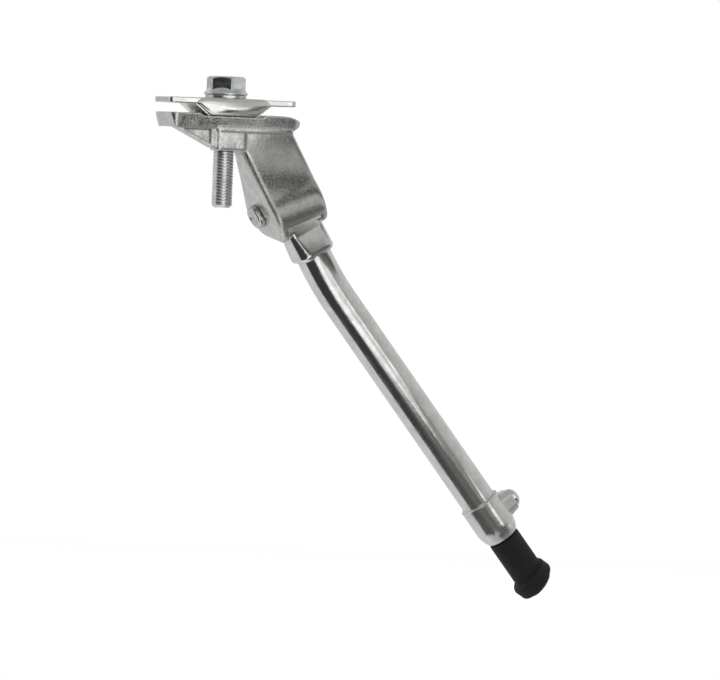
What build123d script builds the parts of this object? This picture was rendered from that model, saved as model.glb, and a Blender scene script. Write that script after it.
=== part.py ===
from build123d import *
from math import asin, cos, radians, sin, tan
import os

# Adjustable alloy bicycle kickstand that clamps under the chainstays.
# Millimetres. +Z runs up the clamp bolt, +X to the side that the leg leans to and +Y to
# the rear wheel. The origin is on the bolt's axis, in the bracket's clamping face.

# Clearances: round fits, flat seats, faces that pass, the swinging head, the bolt in its holes
RUN_GAP = 0.08
SEAT_GAP = 0.05
SIDE_GAP = 0.3
SWING_GAP = 0.4
BOLT_PLAY = 0.3
# How far the joined forms of one casting run into each other
FUSE_DEPTH = 0.8

# Clamp bolt, a hexagon bolt with a flange, and its plain washer
BOLT_DIA = 10.0
BOLT_LENGTH = 55.0
BOLT_HEX_FLATS = 17.0
BOLT_HEX_HEIGHT = 6.2
BOLT_HEX_TURN = 23.0
BOLT_FLANGE_DIA = 21.5
BOLT_FLANGE_HEIGHT = 2.8
BOLT_FLANGE_RIM = 1.0
BOLT_TIP_CHAMFER = 1.2
WASHER_DIA = 20.0
WASHER_THICKNESS = 1.6

# Clamp plate: two wings that slope down between the chainstays to a rounded boss
PLATE_LENGTH = 67.5
PLATE_DEPTH = 20.5
PLATE_THICKNESS = 2.8
PLATE_CORNER = 2.5
PLATE_EDGE = 0.35
PLATE_SLOPE_LENGTH = 41.0
PLATE_TOE_LENGTH = 25.6
PLATE_BOSS_LENGTH = 33.0
PLATE_BOSS_DEPTH = 25.6
PLATE_BOSS_CROWN = 2.6
PLATE_BOSS_BELLY = 4.4
PLATE_BOSS_RISE = 0.2
PLATE_BOSS_DROP = 5.9

# Bracket's clamping flange, with a shallow channel across it for the plate's boss
FLANGE_LEFT = 33.2
FLANGE_RIGHT = 39.5
FLANGE_DEPTH = 22.4
FLANGE_THICKNESS = 7.0
FLANGE_CORNER = 3.5
FLANGE_DRAFT = 7.0
FLANGE_END_RAKE = 2.6
FLANGE_NOSE_RUN = 15.0
FLANGE_NOSE_DROP = 3.6
FLANGE_NOSE_UNDERCUT = 6.5
SEAT_WIDTH = 36.0
SEAT_DROP = 1.3
SEAT_SLOPE = 2.5

# Bracket's bolt boss, the bead under the flange and the pocketed rib on the left
CORE_DEPTH = 21.0
BOSS_WIDTH = 18.0
BOSS_BOTTOM = 18.0
BOSS_CORNER = 3.2
BOSS_DIA = 13.8
BOSS_EDGE = 1.4
BEAD_DROP = 1.7
BEAD_PROUD = 0.4
RIB_SETBACK = 0.9
RIB_THICKNESS = 5.5
RIB_TOE = 1.4
POCKET_RIM = 1.4
POCKET_SINK = 2.2

# Bracket's pivot housing, which leans with the leg
LEAN = 30.0
PIVOT_X = 36.2
PIVOT_Y = 9.5
PIVOT_Z = -41.9
HOUSING_WIDTH = 28.0
HOUSING_EDGE = 2.4
CHEEK_THICKNESS = 3.7
CHEEK_REAR_RADIUS = 12.8
CHEEK_DROP = 15.6
CHEEK_TOE = 4.0
CHEEK_CREST = 6.0
CHEEK_BACK_ANGLE = 33.0
FRONT_WALL = 3.2
FRONT_DIP = 0.6
FRONT_CREASE = 8.0
FRONT_LIP_HIGH = 8.8
FRONT_LIP_LOW = 11.6
POCKET_ROOF = 24.0
POCKET_DEPTH = 4.5

# Pivot rivet
RIVET_DIA = 7.5
RIVET_HEAD_DIA = 11.8
RIVET_HEAD_HEIGHT = 3.2
RIVET_HEAD_RIM = 2.4
RIVET_DIMPLE_DIA = 6.4
RIVET_DIMPLE_DEPTH = 1.2
RIVET_TAIL_DIA = 11.0
RIVET_TAIL_HEIGHT = 1.6
RIVET_TAIL_RIM = 0.6

# Leg's head on the pivot and the square neck below it
LEG_OFFSET = 8.0
HEAD_SWING = 16.6
HEAD_EYE = 8.6
HEAD_NOSE = 2.3
HEAD_NOSE_ANGLE = 31.0
NECK_DEPTH = 14.0
NECK_CORNER = 4.0
NECK_START = 8.0
NECK_END = 29.3
NECK_FOOT_WIDTH = 20.8
NECK_FOOT_DEPTH = 19.6
NECK_FOOT_CORNER = 7.0
NECK_SHOULDER = 2.6

# Leg's bent tube, the collar at its lower end and the screw lug on the collar
TUBE_DIA = 17.4
BEND_POINT = 43.6
BEND_ANGLE = 9.4
BEND_RADIUS = 150.0
COLLAR_START = 135.5
COLLAR_LENGTH = 22.0
COLLAR_DIA = 20.2
COLLAR_BARREL = 14.0
COLLAR_EDGE = 0.8
COLLAR_TOE_DIA = 15.2
COLLAR_TOE_ROUND = 0.7
LUG_FROM_COLLAR = 9.5
LUG_SIZE = 11.0
LUG_REACH = 14.5
LUG_CORNER = 3.6
LUG_FLARE = 9.0
LUG_EDGE = 0.8

# Detent plunger and its spring, in a bore beside the pivot
DETENT_FORWARD = 9.5
PLUNGER_DIA = 6.8
PLUNGER_LENGTH = 9.0
PLUNGER_SPIGOT_DIA = 3.6
PLUNGER_SPIGOT_LENGTH = 3.0
SPRING_WIRE = 1.1
SPRING_PITCH = 3.6
SPRING_TURNS = 4.5
SPRING_WIRE_SIDES = 8

# Telescopic inner leg and its clamping screw
ROD_DIA = 12.4
ROD_INSIDE = 70.0
ROD_CHAMFER = 0.8
BORE_SPARE = 8.0
SCREW_DIA = 5.0
SCREW_HEAD_DIA = 9.6
SCREW_HEAD_HEIGHT = 4.0
SCREW_HEAD_RIM = 1.2
SCREW_RECESS_DIA = 4.6
SCREW_RECESS_WIDTH = 1.2
SCREW_RECESS_DEPTH = 2.0

# Rubber foot, a sleeve with a tilted, domed sole
FOOT_SLEEVE_DIA = 16.0
FOOT_SLEEVE_LENGTH = 22.0
FOOT_SLEEVE_EDGE = 1.0
FOOT_FLANGE_DIA = 20.8
FOOT_FLANGE_SHIFT = 1.0
FOOT_FLANGE_THICKNESS = 6.8
FOOT_FLANGE_EDGE = 1.8
FOOT_SOLE_DOME = 3.0
FOOT_TILT = 19.0
FOOT_HOLE_DEPTH = 22.5

# Places that follow from the sizes above
PLATE_TOE = SEAT_GAP - SEAT_DROP
PLATE_UNDERSIDE = PLATE_TOE + PLATE_BOSS_DROP
PLATE_TOP = PLATE_UNDERSIDE + PLATE_THICKNESS + PLATE_BOSS_RISE
BOLT_SEAT = PLATE_TOP + WASHER_THICKNESS + SEAT_GAP
FLANGE_ROOT = FUSE_DEPTH - FLANGE_THICKNESS
HALF_HOUSING = HOUSING_WIDTH / 2
HALF_GAP = HALF_HOUSING - CHEEK_THICKNESS
HALF_HEAD = HALF_GAP - SIDE_GAP
CAVITY_RADIUS = HEAD_SWING + SWING_GAP
BARREL_RADIUS = CAVITY_RADIUS + FRONT_WALL
CREST_LEVEL = -FLANGE_THICKNESS / 2 + HALF_HOUSING * sin(radians(LEAN))
HOUSING_HEIGHT = (CREST_LEVEL - PIVOT_Z) / cos(radians(LEAN))
NECK_FRONT = LEG_OFFSET + NECK_DEPTH / 2
NECK_REAR = LEG_OFFSET - NECK_DEPTH / 2
COLLAR_END = COLLAR_START + COLLAR_LENGTH
LUG_PLACE = COLLAR_START + LUG_FROM_COLLAR
BORE_END = COLLAR_END - ROD_INSIDE - BORE_SPARE
FOOT_TOP = COLLAR_END + SIDE_GAP
FOOT_SOLE = FOOT_TOP + FOOT_SLEEVE_LENGTH
ROD_END = FOOT_TOP + FOOT_HOLE_DEPTH - SEAT_GAP
PLUNGER_RADIUS = PLUNGER_DIA / 2
PLUNGER_REACH = CAVITY_RADIUS - SIDE_GAP - PLUNGER_RADIUS
PLUNGER_CENTRE = -((PLUNGER_REACH**2 - DETENT_FORWARD**2) ** 0.5)
PLUNGER_END = PLUNGER_CENTRE - PLUNGER_RADIUS + PLUNGER_LENGTH
SPRING_HEIGHT = SPRING_PITCH * SPRING_TURNS
SPRING_END = PLUNGER_END + SPRING_HEIGHT + SPRING_WIRE + 2 * SEAT_GAP


def leaning(angle):
    """Directions along a leg that leans by angle from the vertical, and across it."""
    along = Vector(sin(radians(angle)), 0, -cos(radians(angle)))
    across = Vector(cos(radians(angle)), 0, sin(radians(angle)))
    return along, across


FORWARD = Vector(0, -1, 0)
ALONG, ACROSS = leaning(LEAN)
LOWER_ALONG, LOWER_ACROSS = leaning(LEAN + BEND_ANGLE)
PIVOT = Vector(PIVOT_X, PIVOT_Y, PIVOT_Z)
LEG_TOP = PIVOT + FORWARD * LEG_OFFSET
BEND = LEG_TOP + ALONG * BEND_POINT

# Side view of the pivot: x forward, y down the leg, z across the leg
SIDE = Plane(PIVOT, x_dir=FORWARD, z_dir=ACROSS)
# Front view of the pivot: x across the leg, y down the leg, z to the rear
FRONT = Plane(PIVOT, x_dir=ACROSS, z_dir=-FORWARD)
# Leg's axis above and below the bend, and the detent's axis: x across, y forward, z down the leg
UPPER = Plane(LEG_TOP, x_dir=ACROSS, z_dir=ALONG)
LOWER = Plane(BEND, x_dir=LOWER_ACROSS, z_dir=LOWER_ALONG)
DETENT = Plane(PIVOT + FORWARD * DETENT_FORWARD, x_dir=ACROSS, z_dir=ALONG)
# Clamp screw's axis: x forward, z out of the leg
SCREW = Plane(BEND + LOWER_ALONG * LUG_PLACE, x_dir=FORWARD, z_dir=LOWER_ACROSS)


def round_bar(dia, start, end):
    """A round bar on the Z axis from start to end."""
    return Pos(0, 0, (start + end) / 2) * Cylinder(dia / 2, end - start)


def spun(*points):
    """A solid of revolution about Z from (radius, height) corners."""
    return revolve(Plane.XZ * make_face(Polyline(*points, close=True)), Axis.Z)


def domed_disc(dia, rim, height):
    """A disc that stands on Z = 0, with a straight rim below a dome."""
    radius = dia / 2
    outline = [
        Line((0, height), (0, 0)),
        Line((0, 0), (radius, 0)),
        Line((radius, 0), (radius, rim)),
        TangentArc((0, height), (radius, rim), tangent=(1, 0)),
    ]
    return revolve(Plane.XZ * make_face(outline), Axis.Z)


def outer_tangent(first, second):
    """Ends and normal of the line that touches two circles (x, y, radius) on the right of the way."""
    start = Vector(first[0], first[1])
    way = Vector(second[0], second[1]) - start
    ahead = way.normalized()
    right = Vector(ahead.Y, -ahead.X)
    slip = (first[2] - second[2]) / way.length
    normal = right * (1 - slip**2) ** 0.5 + ahead * slip
    return start + normal * first[2], start + way + normal * second[2], normal


def belt(*rounds):
    """Outline drawn tight round circles (x, y, radius), which go round anticlockwise."""
    onward = rounds[1:] + rounds[:1]
    runs = [outer_tangent(first, second) for first, second in zip(rounds, onward)]
    outline = []
    for (leave, meet, normal), (x, y, radius), following in zip(runs, onward, runs[1:] + runs[:1]):
        middle = Vector(x, y) + (normal + following[2]).normalized() * radius
        outline.append(Line(leave, meet))
        outline.append(ThreePointArc(meet, middle, following[0]))
    return make_face(outline)


def clamp_bolt():
    """Hexagon flange bolt with its shank down."""
    flange = BOLT_FLANGE_DIA / 2
    inscribed = BOLT_HEX_FLATS / 2
    corners = inscribed / cos(radians(30))
    top = BOLT_FLANGE_HEIGHT + BOLT_HEX_HEIGHT
    skirt = spun(
        (0, 0),
        (flange, 0),
        (flange, BOLT_FLANGE_RIM),
        (inscribed, BOLT_FLANGE_HEIGHT),
        (0, BOLT_FLANGE_HEIGHT),
    )
    hexagon = extrude(RegularPolygon(corners, 6, rotation=BOLT_HEX_TURN), top)
    dressing = spun((0, 0), (corners, 0), (corners, top - corners + inscribed), (inscribed, top), (0, top))
    shank = round_bar(BOLT_DIA, -BOLT_LENGTH, BOLT_FLANGE_RIM)
    shank = chamfer(shank.edges().group_by(Axis.Z)[0], BOLT_TIP_CHAMFER)
    return Pos(0, 0, BOLT_SEAT) * (skirt + (hexagon & dressing) + shank)


def bolt_washer():
    """Plain washer between the bolt's flange and the clamp plate."""
    ring = Circle(WASHER_DIA / 2) - Circle(BOLT_DIA / 2 + BOLT_PLAY)
    return Pos(0, 0, PLATE_TOP) * extrude(ring, WASHER_THICKNESS)


def clamp_plate():
    """Wings with rounded edges that slope down to the bracket's channel, and a pillow under the bolt."""
    wings = extrude(RectangleRounded(PLATE_LENGTH, PLATE_DEPTH, PLATE_CORNER), PLATE_THICKNESS)
    wings = fillet(wings.edges().filter_by(Plane.XY), PLATE_EDGE)
    mouth = PLATE_SLOPE_LENGTH / 2
    toe = PLATE_TOE_LENGTH / 2
    outline = Polyline(
        (-mouth, FUSE_DEPTH),
        (-mouth, 0),
        (-toe, -PLATE_BOSS_DROP),
        (toe, -PLATE_BOSS_DROP),
        (mouth, 0),
        (mouth, FUSE_DEPTH),
        close=True,
    )
    slopes = extrude(Plane.XZ * make_face(outline), PLATE_DEPTH / 2 - PLATE_EDGE, both=True)
    plan = Ellipse(PLATE_BOSS_LENGTH / 2, PLATE_BOSS_DEPTH / 2)
    pillow = extrude(plan, PLATE_TOP - PLATE_TOE)
    pillow = fillet(pillow.edges().group_by(Axis.Z)[-1], PLATE_BOSS_CROWN)
    pillow = fillet(pillow.edges().group_by(Axis.Z)[0], PLATE_BOSS_BELLY)
    plate = Pos(0, 0, PLATE_UNDERSIDE) * (wings + slopes) + Pos(0, 0, PLATE_TOE) * pillow
    return plate - round_bar(BOLT_DIA + 2 * BOLT_PLAY, PLATE_TOE, PLATE_TOP)


def flange():
    """Clamping flange: square on the left, a rounded nose on the right."""
    half = FLANGE_DEPTH / 2
    straight = FLANGE_LEFT + FLANGE_RIGHT - half
    plan = Pos(straight / 2 - FLANGE_LEFT, 0) * Rectangle(straight, FLANGE_DEPTH)
    plan = fillet(plan.vertices().group_by(Axis.X)[0], FLANGE_CORNER)
    plan += Pos(FLANGE_RIGHT - half, 0) * Circle(half)
    slab = extrude(plan, -FLANGE_THICKNESS, taper=FLANGE_DRAFT)
    nose_start = (FLANGE_RIGHT - FLANGE_NOSE_RUN, 0)
    nose_tip = (FLANGE_RIGHT, -FLANGE_NOSE_DROP)
    nose_root = (FLANGE_RIGHT - FLANGE_NOSE_UNDERCUT, -FLANGE_THICKNESS)
    end_top = (-FLANGE_LEFT, 0)
    end_root = (-FLANGE_LEFT + FLANGE_END_RAKE, -FLANGE_THICKNESS)
    outline = [
        Line(nose_start, end_top),
        Line(end_top, end_root),
        Line(end_root, nose_root),
        Line(nose_root, nose_tip),
        TangentArc(nose_start, nose_tip, tangent=(1, 0)),
    ]
    return slab & extrude(Plane.XZ * make_face(outline), FLANGE_DEPTH, both=True)


def bolt_boss():
    """Block under the flange that the bolt is screwed through, flat in front and round behind."""
    side = BOSS_WIDTH / 2 - BOSS_CORNER
    front = BOSS_CORNER - CORE_DEPTH / 2
    plan = belt((-side, front, BOSS_CORNER), (side, front, BOSS_CORNER), (0, 0, BOSS_DIA / 2))
    block = Pos(0, 0, -BOSS_BOTTOM) * extrude(plan, BOSS_BOTTOM + FLANGE_ROOT)
    return fillet(block.edges().group_by(Axis.Z)[0], BOSS_EDGE)


def rib():
    """Thin rib that carries the flange's left end, with a three-cornered pocket in its front."""
    face = Plane.XZ.offset(CORE_DEPTH / 2 - RIB_SETBACK)
    start = -FLANGE_LEFT + FLANGE_END_RAKE
    heel_x = -BOSS_WIDTH / 2 - RIB_TOE
    heel_z = -BOSS_BOTTOM + BOSS_EDGE
    end = -BOSS_WIDTH / 2 + BOSS_CORNER
    outline = Polyline(
        (start, FLANGE_ROOT),
        (start, -FLANGE_THICKNESS),
        (heel_x, heel_z),
        (end, heel_z),
        (end, FLANGE_ROOT),
        close=True,
    )
    solid = extrude(face * make_face(outline), -RIB_THICKNESS)
    slope = (heel_z + FLANGE_THICKNESS) / (heel_x - start)
    rim = POCKET_RIM * (1 + slope**2) ** 0.5
    top = -FLANGE_THICKNESS - POCKET_RIM / 2
    right = heel_x - POCKET_RIM / 2
    left = start + (top + FLANGE_THICKNESS - rim) / slope
    bottom = -FLANGE_THICKNESS + slope * (right - start) + rim
    pocket = make_face(Polyline((left, top), (right, top), (right, bottom), close=True))
    return solid - extrude(face * pocket, POCKET_SINK, both=True)


def bead():
    """Raised band where the boss and the housing meet the flange."""
    rise = -FLANGE_THICKNESS - PIVOT_Z
    housing_right = PIVOT_X - rise * tan(radians(LEAN)) + HALF_HOUSING / cos(radians(LEAN))
    left = -BOSS_WIDTH / 2 - BEAD_PROUD
    right = housing_right + 2 * BEAD_PROUD
    outline = RectangleRounded(right - left, CORE_DEPTH + 2 * BEAD_PROUD, BOSS_CORNER)
    band = extrude(Pos((left + right) / 2, 0) * outline, BEAD_DROP + FUSE_DEPTH)
    band = fillet(band.edges().group_by(Axis.Z)[0], BEAD_PROUD)
    return Pos(0, 0, -FLANGE_THICKNESS - BEAD_DROP) * band


def housing_profile():
    """Side view of the housing: barrel round the pivot, rounded toe and ear, hollow slanting back."""
    face = PIVOT_Y + CORE_DEPTH / 2 - FRONT_DIP
    toe_reach = BARREL_RADIUS - CHEEK_TOE
    toe_angle = asin((CHEEK_DROP - CHEEK_TOE) / toe_reach)
    to_toe = Vector(cos(toe_angle), sin(toe_angle))
    toe_centre = to_toe * toe_reach
    toe_meet = to_toe * BARREL_RADIUS
    ear = (0, 0, CHEEK_REAR_RADIUS)
    toe_leave, ear_meet, under = outer_tangent((toe_centre.X, toe_centre.Y, CHEEK_TOE), ear)
    back_angle = radians(CHEEK_BACK_ANGLE)
    upward = Vector(sin(back_angle), -cos(back_angle))
    behind = Vector(upward.Y, -upward.X)
    ear_leave = behind * CHEEK_REAR_RADIUS
    crest_rear = Vector(face - CHEEK_CREST, -HOUSING_HEIGHT)
    crest_front = Vector(face, -HOUSING_HEIGHT)
    crease = Vector(face, -((BARREL_RADIUS**2 - face**2) ** 0.5))
    outline = make_face(
        [
            Line(crest_rear, crest_front),
            Line(crest_front, crease),
            ThreePointArc(crease, (BARREL_RADIUS, 0), toe_meet),
            ThreePointArc(toe_meet, toe_centre + (to_toe + under).normalized() * CHEEK_TOE, toe_leave),
            Line(toe_leave, ear_meet),
            ThreePointArc(ear_meet, (under + behind).normalized() * CHEEK_REAR_RADIUS, ear_leave),
            TangentArc(ear_leave, crest_rear, tangent=upward),
        ]
    )
    return fillet(outline.vertices().sort_by_distance(crease)[0], FRONT_CREASE)


def housing():
    """Leaning housing before it is hollowed, rounded along both cheeks and cut off inside the flange."""
    shell = extrude(SIDE * housing_profile(), HALF_HOUSING, both=True)
    outlines = shell.faces().filter_by(Axis(PIVOT, ACROSS)).edges()
    rims = outlines.filter_by(lambda edge: (edge.center() - PIVOT).dot(ALONG) > FUSE_DEPTH - HOUSING_HEIGHT)
    shell = fillet(rims, HOUSING_EDGE)
    reach = 4 * HOUSING_HEIGHT
    return shell & Pos(0, 0, FLANGE_ROOT - reach / 2) * Box(2 * reach, 2 * reach, reach)


def head_room():
    """Room between the cheeks for the leg's head, open to the rear and below."""
    far = 4 * HEAD_SWING
    stop = NECK_FRONT + SIDE_GAP
    way_out = Pos((stop - far) / 2, far / 2) * Rectangle(stop + far, far)
    rear = Pos((POCKET_DEPTH - far) / 2, -POCKET_ROOF / 2) * Rectangle(POCKET_DEPTH + far, POCKET_ROOF)
    return extrude(SIDE * (Circle(CAVITY_RADIUS) + way_out + rear), HALF_GAP, both=True)


def below_lip():
    """What is cut off below the front wall's slanting lip."""
    outline = Polyline(
        (-HALF_GAP, FRONT_LIP_HIGH),
        (HALF_GAP, FRONT_LIP_LOW),
        (HALF_GAP, 2 * CHEEK_DROP),
        (-HALF_GAP, 2 * CHEEK_DROP),
        close=True,
    )
    return extrude(FRONT * make_face(outline), -2 * BARREL_RADIUS)


def seat_channel():
    """Shallow channel with sloping sides across the clamping face."""
    floor = SEAT_WIDTH / 2 - SEAT_SLOPE
    mouth = SEAT_WIDTH / 2 + SEAT_SLOPE
    outline = Polyline(
        (-mouth, SEAT_DROP),
        (-floor, -SEAT_DROP),
        (floor, -SEAT_DROP),
        (mouth, SEAT_DROP),
        close=True,
    )
    return extrude(Plane.XZ * make_face(outline), FLANGE_DEPTH, both=True)


def bracket():
    """Cast bracket: flange, bolt boss, rib, bead and pivot housing in one piece."""
    casting = flange() + bolt_boss() + rib() + bead() + housing()
    casting = casting - head_room() - below_lip() - seat_channel()
    casting -= round_bar(BOLT_DIA + 2 * RUN_GAP, -2 * BOSS_BOTTOM, BOSS_BOTTOM)
    return casting - SIDE.location * round_bar(RIVET_DIA + 2 * RUN_GAP, -HOUSING_WIDTH, HOUSING_WIDTH)


def pivot_rivet():
    """Rivet through both cheeks, with a dimpled head on the left and a domed tail on the right."""
    seat = HALF_HOUSING + SEAT_GAP
    head = domed_disc(RIVET_HEAD_DIA, RIVET_HEAD_RIM, RIVET_HEAD_HEIGHT)
    head -= Pos(0, 0, RIVET_HEAD_HEIGHT - RIVET_DIMPLE_DEPTH) * spun(
        (0, 0), (RIVET_DIMPLE_DIA / 2, RIVET_DIMPLE_DEPTH), (0, RIVET_DIMPLE_DEPTH)
    )
    tail = domed_disc(RIVET_TAIL_DIA, RIVET_TAIL_RIM, RIVET_TAIL_HEIGHT)
    shank = round_bar(RIVET_DIA, -seat, seat)
    return SIDE.location * (shank + Pos(0, 0, -seat) * Rot(180, 0, 0) * head + Pos(0, 0, seat) * tail)


def leg_head():
    """Eye round the pivot with a nose that reaches up and forward, in the side view."""
    reach = HEAD_SWING - HEAD_NOSE
    base = NECK_START + 2 * HEAD_NOSE
    nose_turn = radians(HEAD_NOSE_ANGLE)
    outline = belt(
        (reach * cos(nose_turn), -reach * sin(nose_turn), HEAD_NOSE),
        (NECK_FRONT - HEAD_NOSE, base, HEAD_NOSE),
        (NECK_REAR + HEAD_NOSE, base, HEAD_NOSE),
        (0, 0, HEAD_EYE),
    )
    return extrude(SIDE * outline, HALF_HEAD, both=True)


def leg_neck():
    """Square neck between the cheeks that swells below them to a rounded shoulder."""
    flare = CHEEK_DROP + SWING_GAP
    narrow = RectangleRounded(2 * HALF_HEAD, NECK_DEPTH, NECK_CORNER)
    wide = RectangleRounded(NECK_FOOT_WIDTH, NECK_FOOT_DEPTH, NECK_FOOT_CORNER)
    shank = Pos(0, 0, NECK_START) * extrude(narrow, flare - NECK_START)
    swell = loft([Pos(0, 0, flare) * narrow, Pos(0, 0, NECK_END) * wide])
    swell = fillet(swell.edges().group_by(Axis.Z)[-1], NECK_SHOULDER)
    return UPPER.location * (shank + swell)


def leg_tube():
    """Round leg with one gentle bend."""
    start = LEG_TOP + ALONG * (NECK_END - NECK_SHOULDER - FUSE_DEPTH)
    end = BEND + LOWER_ALONG * (COLLAR_START + COLLAR_EDGE + FUSE_DEPTH)
    path = FilletPolyline(start, BEND, end, radius=BEND_RADIUS)
    return sweep(Plane(start, x_dir=ACROSS, z_dir=ALONG) * Circle(TUBE_DIA / 2), path=path)


def leg_collar():
    """Barrel at the end of the tube that rounds in to the inner leg."""
    radius = COLLAR_DIA / 2
    step = (radius - COLLAR_EDGE, COLLAR_START)
    edge = (radius, COLLAR_START + COLLAR_EDGE)
    shoulder = (radius, COLLAR_START + COLLAR_BARREL)
    toe = (COLLAR_TOE_DIA / 2, COLLAR_END)
    outline = [
        Polyline(toe, (0, COLLAR_END), (0, COLLAR_START), step, edge, shoulder),
        TangentArc(shoulder, toe, tangent=(0, 1)),
    ]
    collar = revolve(Plane.XZ * make_face(outline), Axis.Z)
    return LOWER.location * fillet(collar.edges().group_by(Axis.Z)[-1], COLLAR_TOE_ROUND)


def leg_lug():
    """Square lug that the clamp screw sits in, flared into the collar."""
    outline = RectangleRounded(LUG_SIZE, LUG_SIZE, LUG_CORNER)
    lug = extrude(Pos(0, 0, LUG_REACH) * outline, -(LUG_REACH - ROD_DIA / 2), taper=-LUG_FLARE)
    return SCREW.location * fillet(lug.edges().group_by(Axis.Z)[-1], LUG_EDGE)


def leg():
    """Cast leg with its holes for the rivet, detent, inner leg and clamp screw."""
    casting = leg_head() + leg_neck() + leg_tube() + leg_collar() + leg_lug()
    casting -= SIDE.location * round_bar(RIVET_DIA + 2 * RUN_GAP, -HOUSING_WIDTH, HOUSING_WIDTH)
    casting -= DETENT.location * round_bar(PLUNGER_DIA + 2 * RUN_GAP, -BARREL_RADIUS, SPRING_END)
    casting -= LOWER.location * round_bar(ROD_DIA + 2 * RUN_GAP, BORE_END, COLLAR_END + FUSE_DEPTH)
    return casting - SCREW.location * round_bar(SCREW_DIA + 2 * RUN_GAP, 0, LUG_REACH + FUSE_DEPTH)


def detent_plunger():
    """Round-nosed plunger with a spigot for the spring."""
    spigot = PLUNGER_SPIGOT_DIA / 2
    spigot_end = PLUNGER_END + PLUNGER_SPIGOT_LENGTH
    outline = [
        CenterArc((0, PLUNGER_CENTRE), PLUNGER_RADIUS, -90, 90),
        Polyline(
            (PLUNGER_RADIUS, PLUNGER_CENTRE),
            (PLUNGER_RADIUS, PLUNGER_END),
            (spigot, PLUNGER_END),
            (spigot, spigot_end),
            (0, spigot_end),
            (0, PLUNGER_CENTRE - PLUNGER_RADIUS),
        ),
    ]
    return DETENT.location * revolve(Plane.XZ * make_face(outline), Axis.Z)


def detent_spring():
    """Compression spring between the plunger and the end of its bore."""
    coil = PLUNGER_RADIUS - SPRING_WIRE / 2 - RUN_GAP
    helix = Helix(pitch=SPRING_PITCH, height=SPRING_HEIGHT, radius=coil)
    wire = Plane(helix @ 0, z_dir=helix % 0) * RegularPolygon(SPRING_WIRE / 2, SPRING_WIRE_SIDES)
    spring = sweep(wire, path=helix, is_frenet=True)
    return DETENT.location * Pos(0, 0, PLUNGER_END + SEAT_GAP + SPRING_WIRE / 2) * spring


def clamp_screw():
    """Domed cross-head screw in the lug that grips the inner leg."""
    seat = LUG_REACH + SEAT_GAP
    head = Pos(0, 0, seat) * domed_disc(SCREW_HEAD_DIA, SCREW_HEAD_RIM, SCREW_HEAD_HEIGHT)
    shank = round_bar(SCREW_DIA, ROD_DIA / 2 + SIDE_GAP, seat + SCREW_HEAD_RIM)
    slot = Box(SCREW_RECESS_DIA, SCREW_RECESS_WIDTH, 2 * SCREW_RECESS_DEPTH)
    recess = Pos(0, 0, seat + SCREW_HEAD_HEIGHT) * (slot + Rot(0, 0, 90) * slot)
    return SCREW.location * (head + shank - recess)


def inner_leg():
    """Telescopic rod, chamfered at both ends."""
    rod = round_bar(ROD_DIA, COLLAR_END - ROD_INSIDE, ROD_END)
    return LOWER.location * chamfer(rod.edges().filter_by(GeomType.CIRCLE), ROD_CHAMFER)


def rubber_foot():
    """Sleeve on the rod with a wider sole, tilted to lie on the ground."""
    radius = FOOT_SLEEVE_DIA / 2
    sleeve = round_bar(FOOT_SLEEVE_DIA, FOOT_TOP, FOOT_SOLE + radius * tan(radians(FOOT_TILT)))
    sleeve = fillet(sleeve.edges().group_by(Axis.Z)[0], FOOT_SLEEVE_EDGE)
    sole = domed_disc(FOOT_FLANGE_DIA, FOOT_FLANGE_THICKNESS, FOOT_FLANGE_THICKNESS + FOOT_SOLE_DOME)
    sole = fillet(sole.edges().filter_by(GeomType.CIRCLE), FOOT_FLANGE_EDGE)
    foot = sleeve + Pos(-FOOT_FLANGE_SHIFT, 0, FOOT_SOLE) * Rot(0, FOOT_TILT, 0) * sole
    return LOWER.location * (foot - round_bar(ROD_DIA + 2 * SEAT_GAP, FOOT_TOP, FOOT_TOP + FOOT_HOLE_DEPTH))


PIECES = [
    bracket,
    pivot_rivet,
    clamp_plate,
    bolt_washer,
    clamp_bolt,
    leg,
    detent_plunger,
    detent_spring,
    clamp_screw,
    inner_leg,
    rubber_foot,
]

os.makedirs("parts", exist_ok=True)
for piece in PIECES:
    export_step(piece(), f"parts/{piece.__name__}.step")
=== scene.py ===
import logging
from dataclasses import dataclass
from enum import Enum
from math import cos, pi, radians, sin, tan
from typing import Any, Callable, Sequence

import bmesh
import bpy
from bpy.types import Material, Mesh, Node, NodeSocket, NodeTree, Object
from mathutils import Matrix, Vector


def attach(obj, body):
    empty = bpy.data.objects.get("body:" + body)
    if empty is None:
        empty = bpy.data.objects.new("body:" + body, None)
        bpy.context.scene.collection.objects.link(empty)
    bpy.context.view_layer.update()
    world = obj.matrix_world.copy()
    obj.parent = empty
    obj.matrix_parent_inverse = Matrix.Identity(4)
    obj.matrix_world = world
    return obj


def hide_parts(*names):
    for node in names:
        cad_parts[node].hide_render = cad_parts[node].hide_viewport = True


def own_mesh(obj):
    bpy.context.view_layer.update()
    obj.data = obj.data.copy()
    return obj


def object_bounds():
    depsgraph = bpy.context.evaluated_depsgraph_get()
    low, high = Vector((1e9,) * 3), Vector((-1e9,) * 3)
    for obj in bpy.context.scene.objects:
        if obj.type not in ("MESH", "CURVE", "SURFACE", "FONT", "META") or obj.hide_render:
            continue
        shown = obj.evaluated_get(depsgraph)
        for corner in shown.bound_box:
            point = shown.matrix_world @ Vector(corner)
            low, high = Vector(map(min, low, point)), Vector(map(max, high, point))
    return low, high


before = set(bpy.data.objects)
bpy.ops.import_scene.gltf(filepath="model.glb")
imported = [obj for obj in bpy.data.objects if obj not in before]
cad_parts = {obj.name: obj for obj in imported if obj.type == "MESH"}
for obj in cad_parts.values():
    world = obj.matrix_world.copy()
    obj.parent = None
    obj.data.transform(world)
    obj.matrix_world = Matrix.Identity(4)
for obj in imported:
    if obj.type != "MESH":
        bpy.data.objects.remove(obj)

# Adjustable alloy bicycle kickstand, dressed for its photograph.
# Lengths in the classes are millimetres in the CAD frame, and meshes are metres.

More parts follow.
